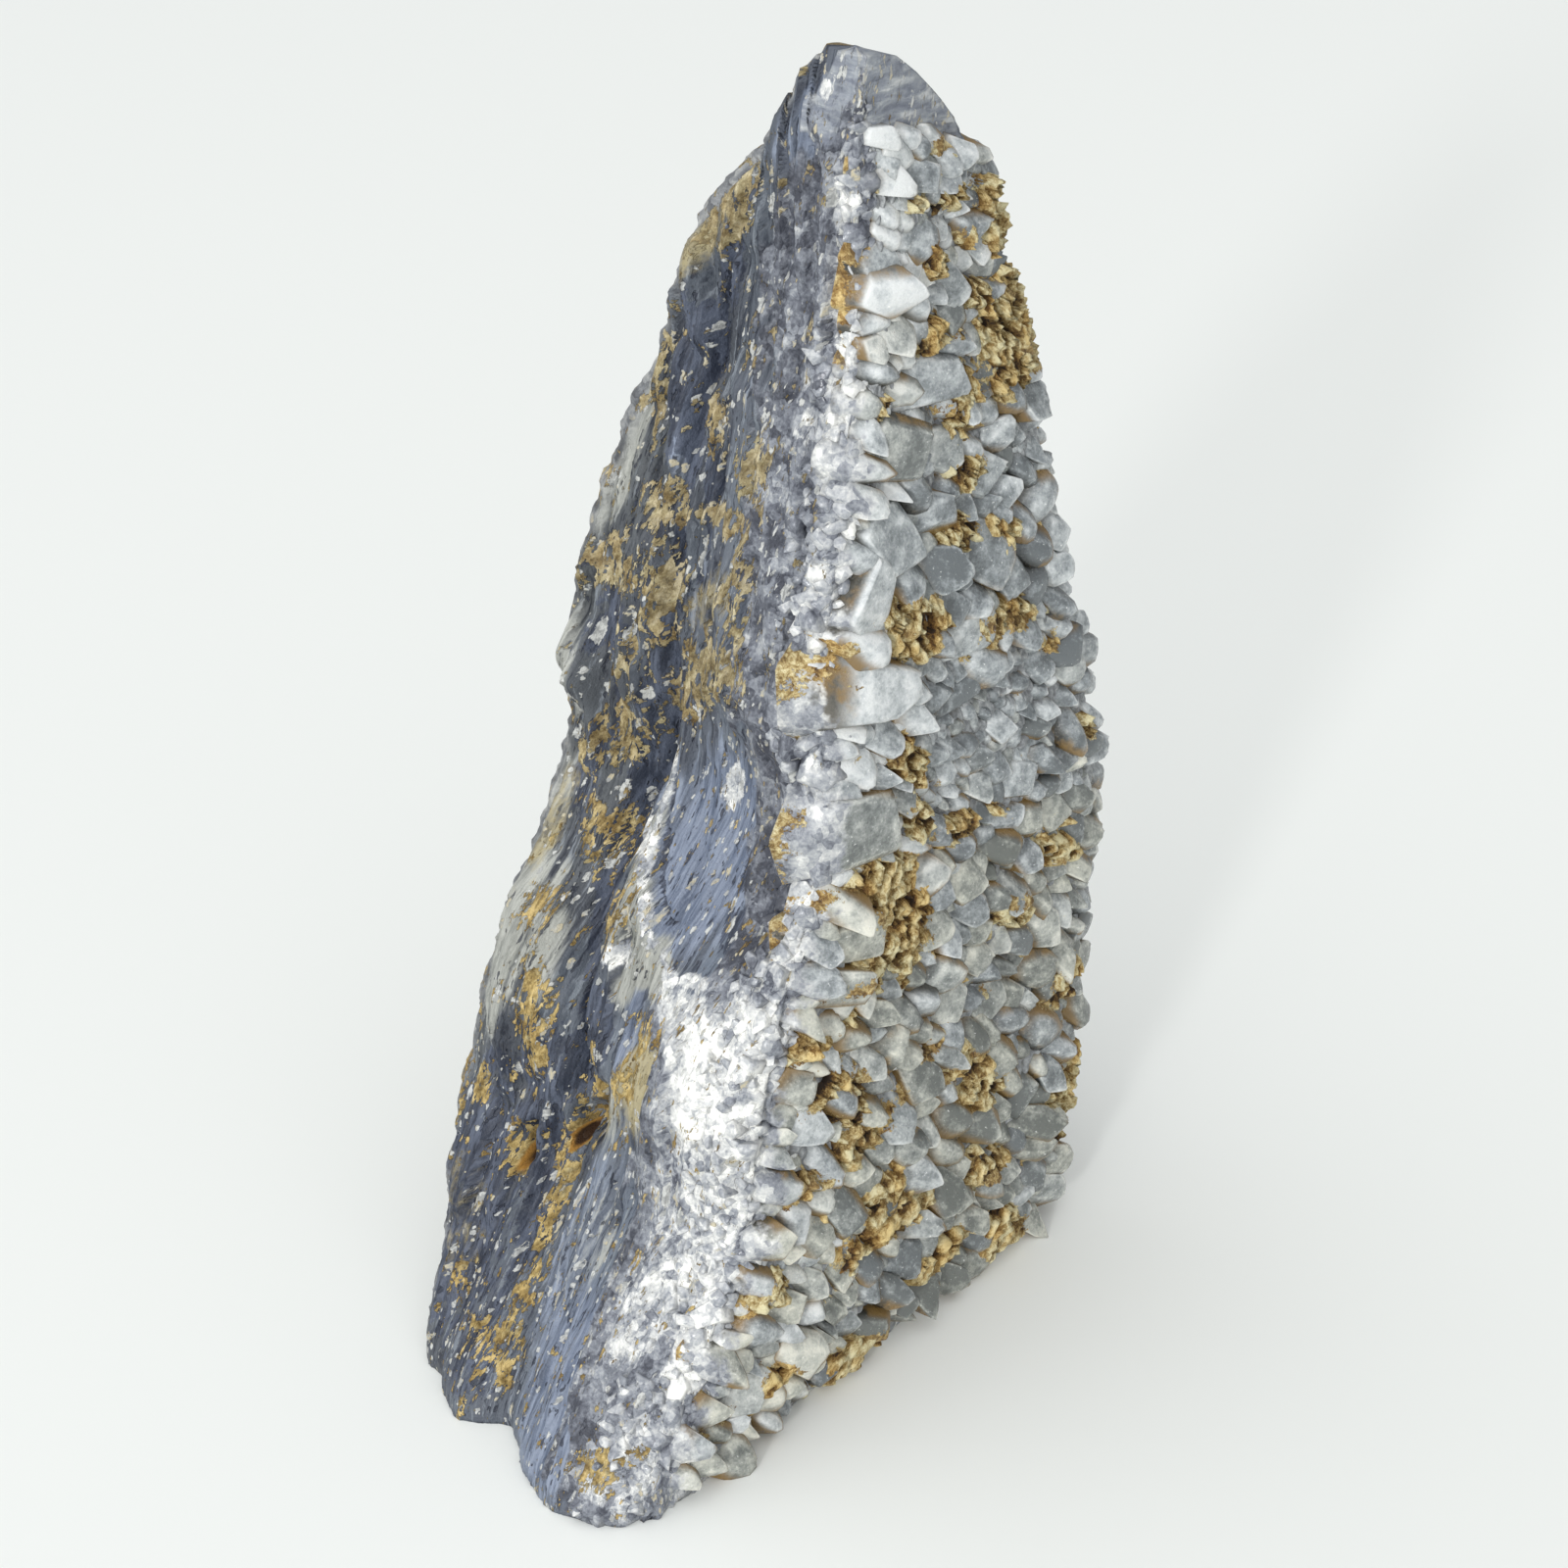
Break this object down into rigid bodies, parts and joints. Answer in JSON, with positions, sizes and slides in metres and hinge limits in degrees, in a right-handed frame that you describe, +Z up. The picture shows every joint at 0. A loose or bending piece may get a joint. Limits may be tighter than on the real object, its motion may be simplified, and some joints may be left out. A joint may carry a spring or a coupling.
{
  "type": "rough blue chalcedony",
  "caption": "Tall rough wedge of banded blue chalcedony that stands on its broken foot, with its bands ending in upright ledges and a face crusted in short blocky crystals.",
  "frame": {"origin": "centre of the bounding box on the ground under the foot", "axes": "+Z up along the stone's length; the picture's camera looks along +Y, with the banded broken face at its left and the crystal face at its right"},
  "size_m": [0.0978, 0.0943, 0.1817],
  "materials": {
    "blue_chalcedony": "rough broken stone with pale grey-blue crystals, blue bands and tan clay in the crevices"
  },
  "bodies": {
    "root": {"chalcedony_stone": "blue_chalcedony"}
  },
  "joints": []
}
